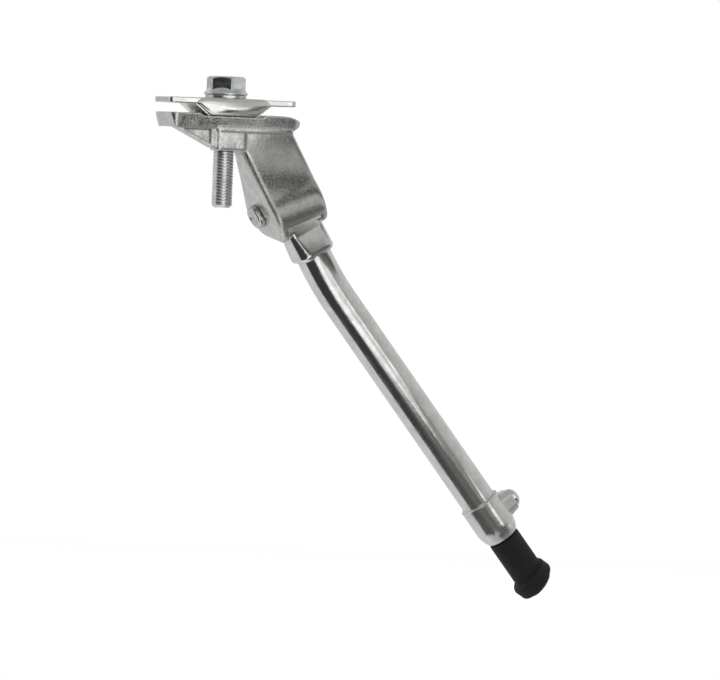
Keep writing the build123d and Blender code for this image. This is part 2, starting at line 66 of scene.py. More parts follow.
CAD_BOX = [list(corner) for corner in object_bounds()]
MM = 0.001
TURN = 2 * pi
FORWARD = Vector((0, -1, 0))
UP = Vector((0, 0, 1))
SAMPLES = 6

Colour = tuple[float, float, float, float]
Names = Sequence[str]
Pair = tuple[float, float]
Sockets = dict[str, Names]
Stops = Sequence[tuple[float, ...]]
log = logging.getLogger("kickstand")


def grey(level: float, warm: float = 0.0) -> Colour:
    """A grey of one level, moved towards olive by warm."""
    return (level + 0.3 * warm, level, level - warm, 1.0)


class Body(Enum):
    """Moving bodies that carry the pieces built here."""

    BRACKET = "bracket"
    PLATE = "clamp_plate"
    BOLT = "clamp_bolt"
    LEG = "leg"
    ROD = "inner_leg"


class Slot(Enum):
    """Names of material slots, which fit takes with each piece but does not use."""

    RIVET = "rivet_steel"
    PLATING = "plate_plating"
    ZINC = "bolt_zinc"
    LEG = "leg_casting"
    RUBBER = "foot_rubber"


class Effect(Enum):
    """Shared shader groups."""

    MOTTLE = "cast_mottle"
    SCRATCHES = "fine_scratches"
    EDGES = "edge_wear"
    CREASES = "crease_grime"


class Graph:
    """Adds nodes to one node tree and joins them."""

    def __init__(self, tree: NodeTree) -> None:
        """Takes the node tree of a material, world or group to draw in."""
        self.tree = tree

    def node(self, kind: str, inputs: dict[Any, Any] | None = None, **settings: Any) -> Node:
        """Adds one node.

        Args:
            kind: Node type, or what follows ShaderNode in its name.
            inputs: Values or sockets by the name or index of the input they go to.
            **settings: Properties of the node.

        Returns:
            The node.
        """
        made = self.tree.nodes.new(kind if "Node" in kind else "ShaderNode" + kind)
        for name, value in settings.items():
            setattr(made, name, value)
        for name, value in (inputs or {}).items():
            self.feed(made.inputs[name], value)
        return made

    def feed(self, socket: NodeSocket, value: Any) -> None:
        """Links a socket or node to an input, or sets the input's own value.

        Args:
            socket: Input to fill.
            value: Number, colour, vector, socket or node.
        """
        if isinstance(value, Node):
            value = value.outputs[0]
        if isinstance(value, NodeSocket):
            self.tree.links.new(value, socket)
        else:
            socket.default_value = value

    def calc(self, operation: str, *values: Any, clamp: bool = False) -> NodeSocket:
        """Adds a Math node on numbers or sockets, clamped to 0 and 1 or not, and gives its result."""
        settings = {"operation": operation, "use_clamp": clamp}
        return self.node("Math", dict(enumerate(values)), **settings).outputs[0]

    def vector_calc(self, operation: str, *values: Any, output: str = "Vector") -> NodeSocket:
        """Adds a Vector Math node on vectors or sockets, and gives the output of that name."""
        made = self.node("VectorMath", dict(enumerate(values)), operation=operation)
        return made.outputs[output]

    def span(self, value: Any, low: float, high: float, to_low: float = 0.0, to_high: float = 1.0) -> Any:
        """Maps the range from low to high smoothly to the range from to_low to to_high."""
        inputs = {"Value": value, "From Min": low, "From Max": high, "To Min": to_low, "To Max": to_high}
        return self.node("MapRange", inputs, interpolation_type="SMOOTHSTEP").outputs["Result"]

    def blend(self, share: Any, first: Any, second: Any) -> NodeSocket:
        """Mixes two colours, of which the second shows by its share."""
        inputs = {0: share, 6: first, 7: second}
        return self.node("Mix", inputs, data_type="RGBA").outputs[2]

    def ramp(self, value: Any, stops: Stops, warm: float = 0.0) -> NodeSocket:
        """Adds a ramp of greys.

        Args:
            value: Socket that drives the ramp.
            stops: Place and level of each grey, from low to high, and its warmth where it has its own.
            warm: Warmth of the other greys.

        Returns:
            The colour's socket.
        """
        made = self.node("ValToRGB", {"Fac": value})
        made.color_ramp.interpolation = "EASE"
        elements = made.color_ramp.elements
        while len(elements) < len(stops):
            elements.new(0.5)
        for element, (place, level, *own) in zip(elements, stops):
            element.position = place
            element.color = grey(level, *(own or (warm,)))
        return made.outputs["Color"]

    def noise(self, vector: Any, scale: Any, detail: float, roughness: float = 0.5) -> NodeSocket:
        """Adds a noise texture with so many finer layers of a weight, and gives its value."""
        inputs = {"Vector": vector, "Scale": scale, "Detail": detail, "Roughness": roughness}
        return self.node("TexNoise", inputs).outputs[0]

    def bump(self, height: Any, depth: float, **inputs: Any) -> Node:
        """Adds a Bump node of a height socket and a depth in millimetres, with any further inputs."""
        inputs = {"Height": height, "Distance": depth * MM, "Strength": 1.0, **inputs}
        return self.node("Bump", inputs)

    def sweep(self, curve: Any, radius: Any, sides: int, caps: bool = True) -> Node:
        """Draws a bar of a radius and so many sides along a curve, with closed ends or open ones."""
        section = self.node("GeometryNodeCurvePrimitiveCircle", {"Resolution": sides, "Radius": radius})
        return self.node("GeometryNodeCurveToMesh", {0: curve, 1: section, "Fill Caps": caps})

    def effect(self, effect: Effect, inputs: dict[str, Any]) -> Node:
        """Places a shared shader group, with values or sockets for its inputs."""
        group = bpy.data.node_groups[effect.value]
        return self.node("Group", inputs, node_tree=group)


def new_material(name: str) -> tuple[Material, Graph]:
    """Starts an empty material.

    Args:
        name: Name of the material.

    Returns:
        The material and the graph of its nodes.
    """
    material = bpy.data.materials.new(name)
    material.use_nodes = True
    material.node_tree.nodes.clear()
    return material, Graph(material.node_tree)


def new_group(name: str, kind: str, inputs: Sockets, outputs: Sockets) -> tuple[Graph, Any]:
    """Starts a node group.

    Args:
        name: Name of the group.
        kind: Shader or Geometry.
        inputs: Names of its inputs by kind of socket.
        outputs: Names of its outputs by kind of socket.

    Returns:
        The graph and the sockets that go into it.
    """
    tree = bpy.data.node_groups.new(name, kind + "NodeTree")
    for way, sockets in (("INPUT", inputs), ("OUTPUT", outputs)):
        for socket, labels in sockets.items():
            for label in labels:
                tree.interface.new_socket(name=label, in_out=way, socket_type="NodeSocket" + socket)
    graph = Graph(tree)
    return graph, graph.node("NodeGroupInput").outputs


@dataclass
class EffectLibrary:
    """Builds the shader groups that more than one finish uses."""

    wave_share: float = 0.62
    patch_scale: float = 3.1
    pit_scale: float = 6.5
    pit_size: float = 0.34
    wear_scale: float = 420.0
    # Noise scale and strength of the painted shade in creases.
    crease_shade_scale: float = 260.0
    crease_shade_amount: float = 0.6
    hairline_stretch: float = 0.03

    def build(self) -> None:
        """Builds every group once."""
        self.cast_mottle()
        self.fine_scratches()
        self.edge_wear()
        self.crease_grime()

    def group(self, effect: Effect, sizes: Names, outputs: Names) -> tuple[Graph, Any]:
        """Starts a shader group with a vector, number inputs and number outputs."""
        inputs = {"Vector": ("Vector",), "Float": sizes}
        return new_group(effect.value, "Shader", inputs, {"Float": outputs})

    def cast_mottle(self) -> None:
        """Uneven polish of a casting: soft patches, waves and small pits."""
        graph, given = self.group(Effect.MOTTLE, ("Scale", "Pits"), ("Mask", "Height"))
        vector, scale = given["Vector"], given["Scale"]
        waves = graph.calc("MULTIPLY", graph.noise(vector, scale, 2.0, 0.45), self.wave_share)
        patches = graph.noise(vector, graph.calc("MULTIPLY", scale, self.patch_scale), 3.0, 0.6)
        both = graph.calc("ADD", waves, graph.calc("MULTIPLY", patches, 1 - self.wave_share))
        inputs = {"Vector": vector, "Scale": graph.calc("MULTIPLY", scale, self.pit_scale)}
        cells = graph.node("TexVoronoi", {**inputs, "Randomness": 1.0}).outputs["Distance"]
        pits = graph.calc("MULTIPLY", graph.span(cells, 0.0, self.pit_size), given["Pits"])
        height = graph.calc("ADD", both, pits)
        graph.node("NodeGroupOutput", {"Mask": graph.span(both, 0.38, 0.62), "Height": height})

    def fine_scratches(self) -> None:
        """Hairlines along the Z axis of the given coordinates."""
        graph, given = self.group(Effect.SCRATCHES, ("Scale",), ("Mask", "Height"))
        across = given["Scale"]
        along = graph.calc("MULTIPLY", across, self.hairline_stretch)
        stretch = graph.node("CombineXYZ", {"X": across, "Y": across, "Z": along})
        lines = graph.noise(graph.vector_calc("MULTIPLY", given["Vector"], stretch), 1.0, 3.0, 0.6)
        graph.node("NodeGroupOutput", {"Mask": graph.span(lines, 0.52, 0.7), "Height": lines})

    def edge_wear(self) -> None:
        """Edges that hands and handling have rubbed bright."""
        graph, given = self.group(Effect.EDGES, ("Radius", "Amount"), ("Mask",))
        rounded = graph.node("Bevel", {"Radius": given["Radius"]}, samples=SAMPLES)
        flat = graph.node("NewGeometry").outputs["Normal"]
        facing = graph.vector_calc("DOT_PRODUCT", rounded, flat, output="Value")
        broken = graph.span(graph.noise(given["Vector"], self.wear_scale, 3.0), 0.3, 0.6)
        edge = graph.calc("MULTIPLY", graph.span(facing, 0.995, 0.8), broken)
        graph.node("NodeGroupOutput", {"Mask": graph.calc("MULTIPLY", edge, given["Amount"])})

    def crease_grime(self) -> None:
        """Painted shade in creases: a mask from ambient occlusion, broken up by noise."""
        graph, given = self.group(Effect.CREASES, ("Reach",), ("Mask",))
        shade = graph.node("AmbientOcclusion", {"Distance": given["Reach"]}, samples=SAMPLES)
        uneven = graph.span(graph.noise(given["Vector"], self.crease_shade_scale, 3.0), 0.25, 0.7, 0.5, 1.0)
        # Painted shade: the mask grows where ambient occlusion finds the surface hemmed in.
        deep = graph.calc("MULTIPLY", graph.span(shade.outputs["AO"], 0.75, 0.25), uneven)
        graph.node("NodeGroupOutput", {"Mask": graph.calc("MULTIPLY", deep, self.crease_shade_amount)})


@dataclass(frozen=True)
class MetalFinish:
    """A cast, drawn or plated metal surface."""

    name: str
    colour: Colour
    shade: Colour
    # Colour of the painted shade that the crease mask lays in creases.
    crease_shade_colour: Colour
    roughness: float
    uneven: float
    mottle_scale: float
    mottle_depth: float
    pits: float
    scratch_scale: float
    scratch_depth: float
    edge_radius: float
    wear: float
    grain_lean: float = 0.0
    low_radius: float = 0.0
    low_level: float = 0.0
    low_fade: float = 8.0
    crease_reach: float = 2.5
    crease_dulling: float = 0.2
    smoothest: float = 0.04
    rubbed: Colour = grey(0.9)

    def material(self) -> Material:
        """Builds the material.

        Returns:
            A metal with patches, hairlines, rubbed edges, and creases that are duller and darkened with
            painted shade.
        """
        material, graph = new_material(self.name)
        place = graph.node("TexCoord").outputs["Object"]
        turn = (0, radians(self.grain_lean), 0)
        grain = graph.node("Mapping", {"Vector": place, "Rotation": turn}).outputs[0]
        inputs = {"Vector": place, "Scale": self.mottle_scale, "Pits": self.pits}
        mottle = graph.effect(Effect.MOTTLE, inputs)
        lines = graph.effect(Effect.SCRATCHES, {"Vector": grain, "Scale": self.scratch_scale})
        inputs = {"Vector": place, "Radius": 2 * self.edge_radius * MM, "Amount": self.wear}
        edges = graph.effect(Effect.EDGES, inputs)
        creases = graph.effect(Effect.CREASES, {"Vector": place, "Reach": self.crease_reach * MM})
        colour = graph.blend(mottle.outputs["Mask"], self.colour, self.shade)
        # Painted shade: the crease mask darkens the colour in creases.
        colour = graph.blend(creases.outputs["Mask"], colour, self.crease_shade_colour)
        colour = graph.blend(edges.outputs["Mask"], colour, self.rubbed)
        patchy = graph.span(mottle.outputs["Mask"], 0, 1, -self.uneven, self.uneven)
        worn = graph.calc("MULTIPLY", lines.outputs["Mask"], self.uneven)
        dull = graph.calc("MULTIPLY", creases.outputs["Mask"], self.crease_dulling)
        dull = graph.calc("ADD", dull, self.roughness)
        rough = graph.calc("ADD", graph.calc("ADD", patchy, worn), dull)
        rounded = graph.node("Bevel", {"Radius": self.edge_radius * MM}, samples=SAMPLES)
        if self.low_radius:
            level = graph.node("SeparateXYZ", {0: place}).outputs["Z"]
            high, low = self.low_level * MM, (self.low_level - self.low_fade) * MM
            radius = graph.span(level, high, low, self.edge_radius * MM, self.low_radius * MM)
            graph.feed(rounded.inputs["Radius"], radius)
        waves = graph.bump(mottle.outputs["Height"], self.mottle_depth, Normal=rounded)
        inputs = {
            "Base Color": colour, "Metallic": 1.0,
            "Roughness": graph.calc("MAXIMUM", rough, self.smoothest),
            "Normal": graph.bump(lines.outputs["Height"], self.scratch_depth, Normal=waves),
        }
        graph.node("OutputMaterial", {"Surface": graph.node("BsdfPrincipled", inputs)})
        return material


@dataclass(frozen=True)
class RubberFinish:
    """Matte moulded rubber with a little dust."""

    name: str
    colour: Colour
    dust: Colour
    roughness: float
    grain_scale: float
    grain_depth: float
    smear_scale: float = 160.0
    smear_dulling: float = 0.12
    specular: float = 0.28
    edge_reach: float = 1.4
    edge_wear: float = 0.5
    rubbed: Colour = grey(0.06)

    def material(self) -> Material:
        """Builds the material.

        Returns:
            A near-black rubber with fine grain, paler at its edges.
        """
        material, graph = new_material(self.name)
        place = graph.node("TexCoord").outputs["Object"]
        inputs = {"Vector": place, "Radius": self.edge_reach * MM, "Amount": self.edge_wear}
        edges = graph.effect(Effect.EDGES, inputs)
        grain = graph.noise(place, self.grain_scale, 3.0, 0.6)
        smears = graph.span(graph.noise(place, self.smear_scale, 4.0, 0.6), 0.45, 0.75, 0.0, 0.5)
        colour = graph.blend(smears, self.colour, self.dust)
        dull = self.roughness + self.smear_dulling
        inputs = {
            "Base Color": graph.blend(edges.outputs["Mask"], colour, self.rubbed),
            "Roughness": graph.span(smears, 0.0, 0.5, self.roughness, dull),
            "Specular IOR Level": self.specular, "Normal": graph.bump(grain, self.grain_depth),
        }
        graph.node("OutputMaterial", {"Surface": graph.node("BsdfPrincipled", inputs)})
        return material


# Each finish's crease colour is painted shade for its creases.
CAST = MetalFinish(
    name="cast_alloy", colour=grey(0.66, 0.015), shade=grey(0.57, 0.015), crease_shade_colour=grey(0.3, 0.015),
    roughness=0.22, uneven=0.05, mottle_scale=240.0, mottle_depth=0.17, pits=0.3, scratch_scale=900.0,
    scratch_depth=0.01, edge_radius=1.2, wear=0.25, low_radius=3.2, crease_reach=4.5, low_level=-17.0,
)
POLISHED = MetalFinish(
    name="polished_alloy", colour=grey(0.77, 0.008), shade=grey(0.68, 0.008), crease_shade_colour=grey(0.22, 0.01),
    roughness=0.13, uneven=0.04, mottle_scale=160.0, mottle_depth=0.08, pits=0.05, scratch_scale=800.0,
    scratch_depth=0.02, edge_radius=0.5, wear=0.5, grain_lean=39.4,
)
PLATED = MetalFinish(
    name="plated_sheet", colour=grey(0.82, 0.02), shade=grey(0.74, 0.02), crease_shade_colour=grey(0.25, 0.03),
    roughness=0.14, uneven=0.04, mottle_scale=140.0, mottle_depth=0.06, pits=0.02, scratch_scale=700.0,
    scratch_depth=0.008, edge_radius=0.5, wear=0.4,
)
ZINC = MetalFinish(
    name="zinc_plating", colour=(0.7, 0.72, 0.74, 1.0), shade=(0.58, 0.6, 0.61, 1.0),
    crease_shade_colour=grey(0.15, 0.02), roughness=0.14, uneven=0.04, mottle_scale=260.0, mottle_depth=0.03, pits=0.04,
    scratch_scale=900.0, scratch_depth=0.006, edge_radius=0.7, wear=0.5,
)
STEEL = MetalFinish(
    name="plain_steel", colour=grey(0.66, 0.015), shade=grey(0.55, 0.015), crease_shade_colour=grey(0.12, 0.02),
    roughness=0.22, uneven=0.06, mottle_scale=300.0, mottle_depth=0.1, pits=0.05, scratch_scale=1200.0,
    scratch_depth=0.008, edge_radius=0.25, wear=0.5,
)
CHROME = MetalFinish(
    name="screw_plating", colour=grey(0.8, 0.01), shade=grey(0.72, 0.01), crease_shade_colour=grey(0.12, 0.01),
    roughness=0.1, uneven=0.03, mottle_scale=240.0, mottle_depth=0.06, pits=0.0, scratch_scale=1200.0,
    scratch_depth=0.004, edge_radius=0.2, wear=0.4,
)
DRAWN = MetalFinish(
    name="drawn_alloy", colour=grey(0.72, 0.01), shade=grey(0.66, 0.01), crease_shade_colour=grey(0.2, 0.01),
    roughness=0.26, uneven=0.05, mottle_scale=150.0, mottle_depth=0.05, pits=0.02, scratch_scale=1500.0,
    scratch_depth=0.012, edge_radius=0.3, wear=0.4, grain_lean=39.4,
)
RUBBER = RubberFinish(
    name="moulded_rubber", colour=grey(0.009), dust=grey(0.016), roughness=0.6, grain_scale=2600.0,
    grain_depth=0.03,
)


class ShapeTree:
    """A geometry node tree with named inputs."""

    def __init__(self, name: str, sizes: Names, counts: Names = (), vectors: Names = ()) -> None:
        """Starts the tree.

        Args:
            name: Name of the tree.
            sizes: Names of its number inputs.
            counts: Names of its whole-number inputs.
            vectors: Names of its vector inputs.
        """
        inputs = {"Geometry": ("Geometry",), "Float": sizes, "Int": counts, "Vector": vectors}
        inputs["Material"] = ("Finish",)
        self.graph, self.given = new_group(name, "Geometry", inputs, {"Geometry": ("Geometry",)})

    def smooth(self, geometry: Any) -> Node:
        """Shades a shape smooth."""
        return self.graph.node("GeometryNodeSetShadeSmooth", {0: geometry, "Shade Smooth": True})

    def end(self, geometry: Any, placed: bool = False) -> None:
        """Realizes the shape, sets its material and puts it out.

        Args:
            geometry: Socket or node with the finished shape.
            placed: Whether the inputs Place and Turn first move it.
        """
        if placed:
            moves = {"Translation": self.given["Place"], "Rotation": self.given["Turn"]}
            geometry = self.graph.node("GeometryNodeTransform", {"Geometry": geometry, **moves})
        real = self.graph.node("GeometryNodeRealizeInstances", {"Geometry": geometry})
        inputs = {"Geometry": real, "Material": self.given["Finish"]}
        dressed = self.graph.node("GeometryNodeSetMaterial", inputs)
        self.graph.node("NodeGroupOutput", {"Geometry": dressed})

    def grow(self, name: str, start: Mesh, sizes: dict[str, Any], finish: Any) -> Object:
        """Runs the tree on a mesh and keeps the result as a plain mesh.

        Args:
            name: Name of the piece.
            start: Mesh that goes into the tree.
            sizes: Values of the named inputs.
            finish: Material of the shape.

        Returns:
            The piece's object, with no modifier.
        """
        maker = place_object(name + "_maker", start)
        modifier = maker.modifiers.new("shape", "NODES")
        tree = modifier.node_group = self.graph.tree
        inputs = [item for item in tree.interface.items_tree if item.in_out == "INPUT"]
        names = {item.name: item.identifier for item in inputs}
        for label, value in {**sizes, "Finish": finish}.items():
            modifier[names[label]] = value
        depsgraph = bpy.context.evaluated_depsgraph_get()
        mesh = bpy.data.meshes.new_from_object(maker.evaluated_get(depsgraph))
        bpy.data.objects.remove(maker)
        mesh.name = name
        return place_object(name, mesh)


def place_object(name: str, data: Any, finish: Material | None = None) -> Object:
    """Puts a mesh, lamp or camera in the scene, at the origin.

    Args:
        name: Name of the object.
        data: The lamp or camera, or a mesh in metres in the shared frame.
        finish: Material of a mesh that has none.

    Returns:
        The object.
    """
    made = bpy.data.objects.new(name, data)
    bpy.context.collection.objects.link(made)
    if finish:
        data.materials.append(finish)
    return made


def skin(name: str, rings: Sequence[Sequence[Vector]], place: Matrix, sharp: float) -> Mesh:
    """Covers a stack of rings with faces.

    Args:
        name: Name of the mesh.
        rings: Rings of equally many points in millimetres; a ring of one point is a pole.
        place: Where the stack stands, in millimetres.
        sharp: Angle in degrees above which an edge stays sharp.

    Returns:
        A closed mesh in metres.
    """
    form = bmesh.new()
    levels = [[form.verts.new(point) for point in ring] for ring in rings]
    for low, high in zip(levels, levels[1:]):
        count = max(len(low), len(high))
        for index in range(count):
            after = (index + 1) % count
            corners = [low[index % len(low)], low[after % len(low)]]
            corners += [high[after % len(high)], high[index % len(high)]]
            form.faces.new(list(dict.fromkeys(corners)))
    bmesh.ops.recalc_face_normals(form, faces=form.faces)
    for face in form.faces:
        face.smooth = True
    form.transform(Matrix.Scale(MM, 4) @ place)
    mesh = bpy.data.meshes.new(name)
    form.to_mesh(mesh)
    form.free()
    mesh.set_sharp_from_angle(angle=radians(sharp))
    return mesh


def plain_mesh(name: str, points: Sequence[Vector], edges: Any = (), faces: Any = ()) -> Mesh:
    """Makes a mesh of given points.

    Args:
        name: Name of the mesh.
        points: Points in millimetres.
        edges: Numbers of the points that each edge joins.
        faces: Numbers of the points round each face.

    Returns:
        The mesh in metres.
    """
    mesh = bpy.data.meshes.new(name)
    mesh.from_pydata([point * MM for point in points], edges, faces)
    return mesh


def turned(count: int, outline: Callable[[float], Stops], low: float, high: float) -> Any:
    """Stacks rings round the Z axis between two poles.

    Args:
        count: Number of points in a ring.
        outline: Gives the radius and height of every ring at an angle.
        low: Height of the first pole.
        high: Height of the last pole.

    Returns:
        The rings in millimetres.
    """
    columns = []
    for angle in [TURN * index / count for index in range(count)]:
        columns.append([Vector((out * cos(angle), out * sin(angle), up)) for out, up in outline(angle)])
    return [[Vector((0, 0, low))], *zip(*columns), [Vector((0, 0, high))]]


def dress(node: str, finish: Material) -> None:
    """Gives a CAD node a finish.

    Args:
        node: Name of the node.
        finish: Material for its slots.
    """
    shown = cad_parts[node]
    if not shown.material_slots:
        shown.data.materials.append(finish)
    for slot in shown.material_slots:
        slot.material = finish
    log.info("%s wears %s", node, finish.name)


def fit(piece: Object, body: Body, slot: Slot, *nodes: str) -> None:
    """Ties a piece to its body and hides the nodes it stands for.

    Args:
        piece: The piece.
        body: Body that it moves with.
        slot: Not used.
        *nodes: CAD nodes that it replaces.
    """
    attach(piece, body.value)
    if nodes:
        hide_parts(*nodes)
    log.info("%s rides on %s, %d faces", piece.name, body.value, len(piece.data.polygons))


@dataclass
class LegLine:
    """The line of the leaning leg, from its pivot past its bend."""

    lean: float = 30.0
    bend_angle: float = 9.4
    pivot: Vector = Vector((36.2, 9.5, -41.9))
    offset: float = 8.0
    bend_point: float = 43.6
    bend_radius: float = 150.0

    def along(self, bent: bool = False) -> Vector:
        """Direction down the leg, above or below its bend."""
        angle = radians(self.lean + self.bend_angle * bent)
        return Vector((sin(angle), 0, -cos(angle)))

    def across(self, bent: bool = False) -> Vector:
        """Direction across the leg in the plane that it leans in."""
        angle = radians(self.lean + self.bend_angle * bent)
        return Vector((cos(angle), 0, sin(angle)))

    def top(self) -> Vector:
        """Start of the leg's axis, beside the pivot."""
        return self.pivot + FORWARD * self.offset

    def bend(self) -> Vector:
        """Point where the two straights of the axis meet."""
        return self.top() + self.along() * self.bend_point

    def place(self, origin: Vector, x_dir: Vector, z_dir: Vector) -> Matrix:
        """A frame from an origin in millimetres and the directions of its X and Z."""
        axes = Matrix((x_dir, z_dir.cross(x_dir), z_dir)).transposed()
        return Matrix.Translation(origin) @ axes.to_4x4()


@dataclass
class ClampPlate:
    """Plated clamp plate, whose middle swells out of its front and rear faces."""

    face: float = 9.9
    inside: float = 9.7
    top: float = 7.7
    underside: float = 4.65
    fullest: float = 2.0
    toe: float = -1.2
    crown_half: float = 16.2
    mouth_half: float = 19.7
    toe_half: float = 12.0
    swell: float = 3.7
    columns: int = 48
    rows: int = 14
    bow_power: float = 2.2
    bow_root: float = 0.5
    low_power: float = 2.0
    low_root: float = 0.6
    high_power: float = 2.5
    high_root: float = 0.33
    sharp: float = 50.0

    def half_width(self, height: float) -> float:
        """Half of the pillow's width.

        Args:
            height: Height in the CAD frame.

        Returns:
            The half width there.
        """
        if height > self.underside:
            share = (height - self.underside) / (self.top - self.underside)
            return self.mouth_half - (self.mouth_half - self.crown_half) * share**2
        share = (height - self.toe) / (self.underside - self.toe)
        return self.toe_half + (self.mouth_half - self.toe_half) * share

    def section(self, height: float, depth: float) -> list[Vector]:
        """Outline of the pillow at a height.

        Args:
            height: Height in the CAD frame.
            depth: How far the pillow swells there.

        Returns:
            Points round the front, then along the inside.
        """
        half = self.half_width(height)
        points = []
        for column in range(self.columns + 1):
            share = sin(pi * (column / self.columns - 0.5))
            swell = depth * max(0.0, 1 - abs(share) ** self.bow_power) ** self.bow_root
            points.append(Vector((half * share, -self.face - swell, height)))
        return points + [Vector((half, -self.inside, height)), Vector((-half, -self.inside, height))]

    def pillow(self, name: str, turn: float) -> Mesh:
        """Builds the swelling of one face.

        Args:
            name: Name of the mesh.
            turn: Angle about the bolt, in degrees.

        Returns:
            The closed swelling.
        """
        rings = [[Vector((0, -self.inside, self.toe))]]
        below = (range(self.rows, -1, -1), self.toe, self.low_power, self.low_root)
        above = (range(1, self.rows + 1), self.top, self.high_power, self.high_root)
        for rows, limit, power, root in (below, above):
            for row in rows:
                share = sin(pi / 2 * row / self.rows)
                depth = self.swell * max(0.0, 1 - share**power) ** root
                rings.append(self.section(self.fullest + (limit - self.fullest) * share, depth))
        rings.append([Vector((0, -self.inside, self.top))])
        return skin(name, rings, Matrix.Rotation(radians(turn), 4, "Z"), self.sharp)

    def build(self, finish: Material) -> None:
        """Dresses the plate and adds its swellings.

        Args:
            finish: Bright plating.
        """
        dress("clamp_plate", finish)
        for name, turn in (("plate_pillow_front", 0.0), ("plate_pillow_rear", 180.0)):
            pillow = place_object(name, self.pillow(name, turn), finish)
            fit(pillow, Body.PLATE, Slot.PLATING)


@dataclass
class ClampBolt:
    """Hexagon flange bolt with a rolled thread, and its washer."""

    seat: float = 9.35
    dia: float = 10.0
    pitch: float = 1.5
    thread_depth: float = 0.34
    length: float = 55.0
    tip_chamfer: float = 1.3
    flats: float = 17.0
    top: float = 9.0
    turn: float = 23.0
    flange_dia: float = 21.5
    flange_rim: float = 1.0
    flange_height: float = 2.8
    chamfer_angle: float = 27.0
    dish: float = 0.45
    dish_rim: float = 0.5
    dish_edge: float = 1.3
    crown_share: float = 0.94
    rim_round: float = 0.3
    rim_bevel: tuple[float, float, float] = (0.25, 0.15, 0.05)
    root_round: float = 0.35
    sides: int = 96
    sharp: float = 24.0
    crest_share: float = 0.26
    flank_slope: float = 5.0
    thread_sides: int = 48
    thread_rows: int = 600

    def outline(self, angle: float) -> Stops:
        """Outline of the flange and the hexagon with its dressed corners.

        Args:
            angle: Angle round the bolt.

        Returns:
            Radius and height of each ring there.
        """
        inscribed, flange = self.flats / 2, self.flange_dia / 2
        crown = self.crown_share * inscribed
        side = inscribed / cos((angle - radians(self.turn)) % (TURN / 6) - TURN / 12)
        share = (flange - side) / (flange - inscribed)
        skirt = self.flange_rim + share * (self.flange_height - self.flange_rim)
        shoulder = self.top - (side - crown) * tan(radians(self.chamfer_angle))
        inward, below, above = self.rim_bevel
        return [
            (flange - self.rim_round, 0), (flange, self.rim_round), (flange, self.flange_rim - below),
            (flange - inward, self.flange_rim + above), (side + self.root_round, skirt),
            (side, skirt + self.root_round), (side, shoulder), (crown, self.top),
            (crown - self.dish_rim, self.top), (crown - self.dish_edge, self.top - self.dish),
        ]

    def head(self) -> Mesh:
        """Builds the bolt's head."""
        rings = turned(self.sides, self.outline, 0, self.top - self.dish)
        return skin("bolt_head", rings, Matrix.Translation((0, 0, self.seat)), self.sharp)

    def thread(self) -> ShapeTree:
        """Builds the tree that winds a thread on a bar and joins it to the head.

        Returns:
            The tree.
        """
        sizes = ("Radius", "Pitch", "Depth", "Length", "Seat", "Chamfer")
        shape = ShapeTree("wound_thread", sizes, ("Sides", "Rows"))
        graph, given = shape.graph, shape.given
        inputs = {"Vertices": "Sides", "Side Segments": "Rows", "Radius": "Radius", "Depth": "Length"}
        bar = graph.node("GeometryNodeMeshCylinder", {name: given[size] for name, size in inputs.items()})
        spot = graph.node("SeparateXYZ", {0: graph.node("GeometryNodeInputPosition")}).outputs
        angle = graph.calc("DIVIDE", graph.calc("ARCTAN2", spot["Y"], spot["X"]), TURN)
        winds = graph.calc("DIVIDE", spot["Z"], given["Pitch"])
        phase = graph.calc("FRACT", graph.calc("SUBTRACT", winds, angle))
        slope = graph.calc("ABSOLUTE", graph.calc("SUBTRACT", phase, 0.5))
        past = graph.calc("SUBTRACT", slope, self.crest_share)
        groove = graph.calc("MULTIPLY", past, self.flank_slope, clamp=True)
        radius = graph.calc("SUBTRACT", given["Radius"], graph.calc("MULTIPLY", groove, given["Depth"]))
        rise = graph.calc("ADD", spot["Z"], graph.calc("MULTIPLY", given["Length"], 0.5))
        tip = graph.calc("ADD", graph.calc("SUBTRACT", given["Radius"], given["Chamfer"]), rise)
        share = graph.calc("DIVIDE", graph.calc("MINIMUM", radius, tip), given["Radius"])
        drop = graph.calc("SUBTRACT", given["Seat"], graph.calc("MULTIPLY", given["Length"], 0.5))
        place = {axis: graph.calc("MULTIPLY", spot[axis], share) for axis in ("X", "Y")}
        moved = graph.node("CombineXYZ", {**place, "Z": graph.calc("ADD", spot["Z"], drop)})
        wound = graph.node("GeometryNodeSetPosition", {"Geometry": bar, "Position": moved})
        joined = graph.node("GeometryNodeJoinGeometry")
        graph.feed(joined.inputs[0], given["Geometry"])
        graph.feed(joined.inputs[0], shape.smooth(wound))
        shape.end(joined)
        return shape

    def build(self, finish: Material) -> None:
        """Builds the bolt and dresses its washer.

        Args:
            finish: Zinc plating.
        """
        sizes = {
            "Radius": self.dia / 2 * MM, "Pitch": self.pitch * MM, "Depth": self.thread_depth * MM,
            "Length": (self.length + self.flange_rim) * MM, "Seat": (self.seat + self.flange_rim) * MM,
            "Chamfer": self.tip_chamfer * MM, "Sides": self.thread_sides, "Rows": self.thread_rows,
        }
        bolt = self.thread().grow("threaded_bolt", self.head(), sizes, finish)
        fit(bolt, Body.BOLT, Slot.ZINC, "clamp_bolt")
        dress("bolt_washer", finish)


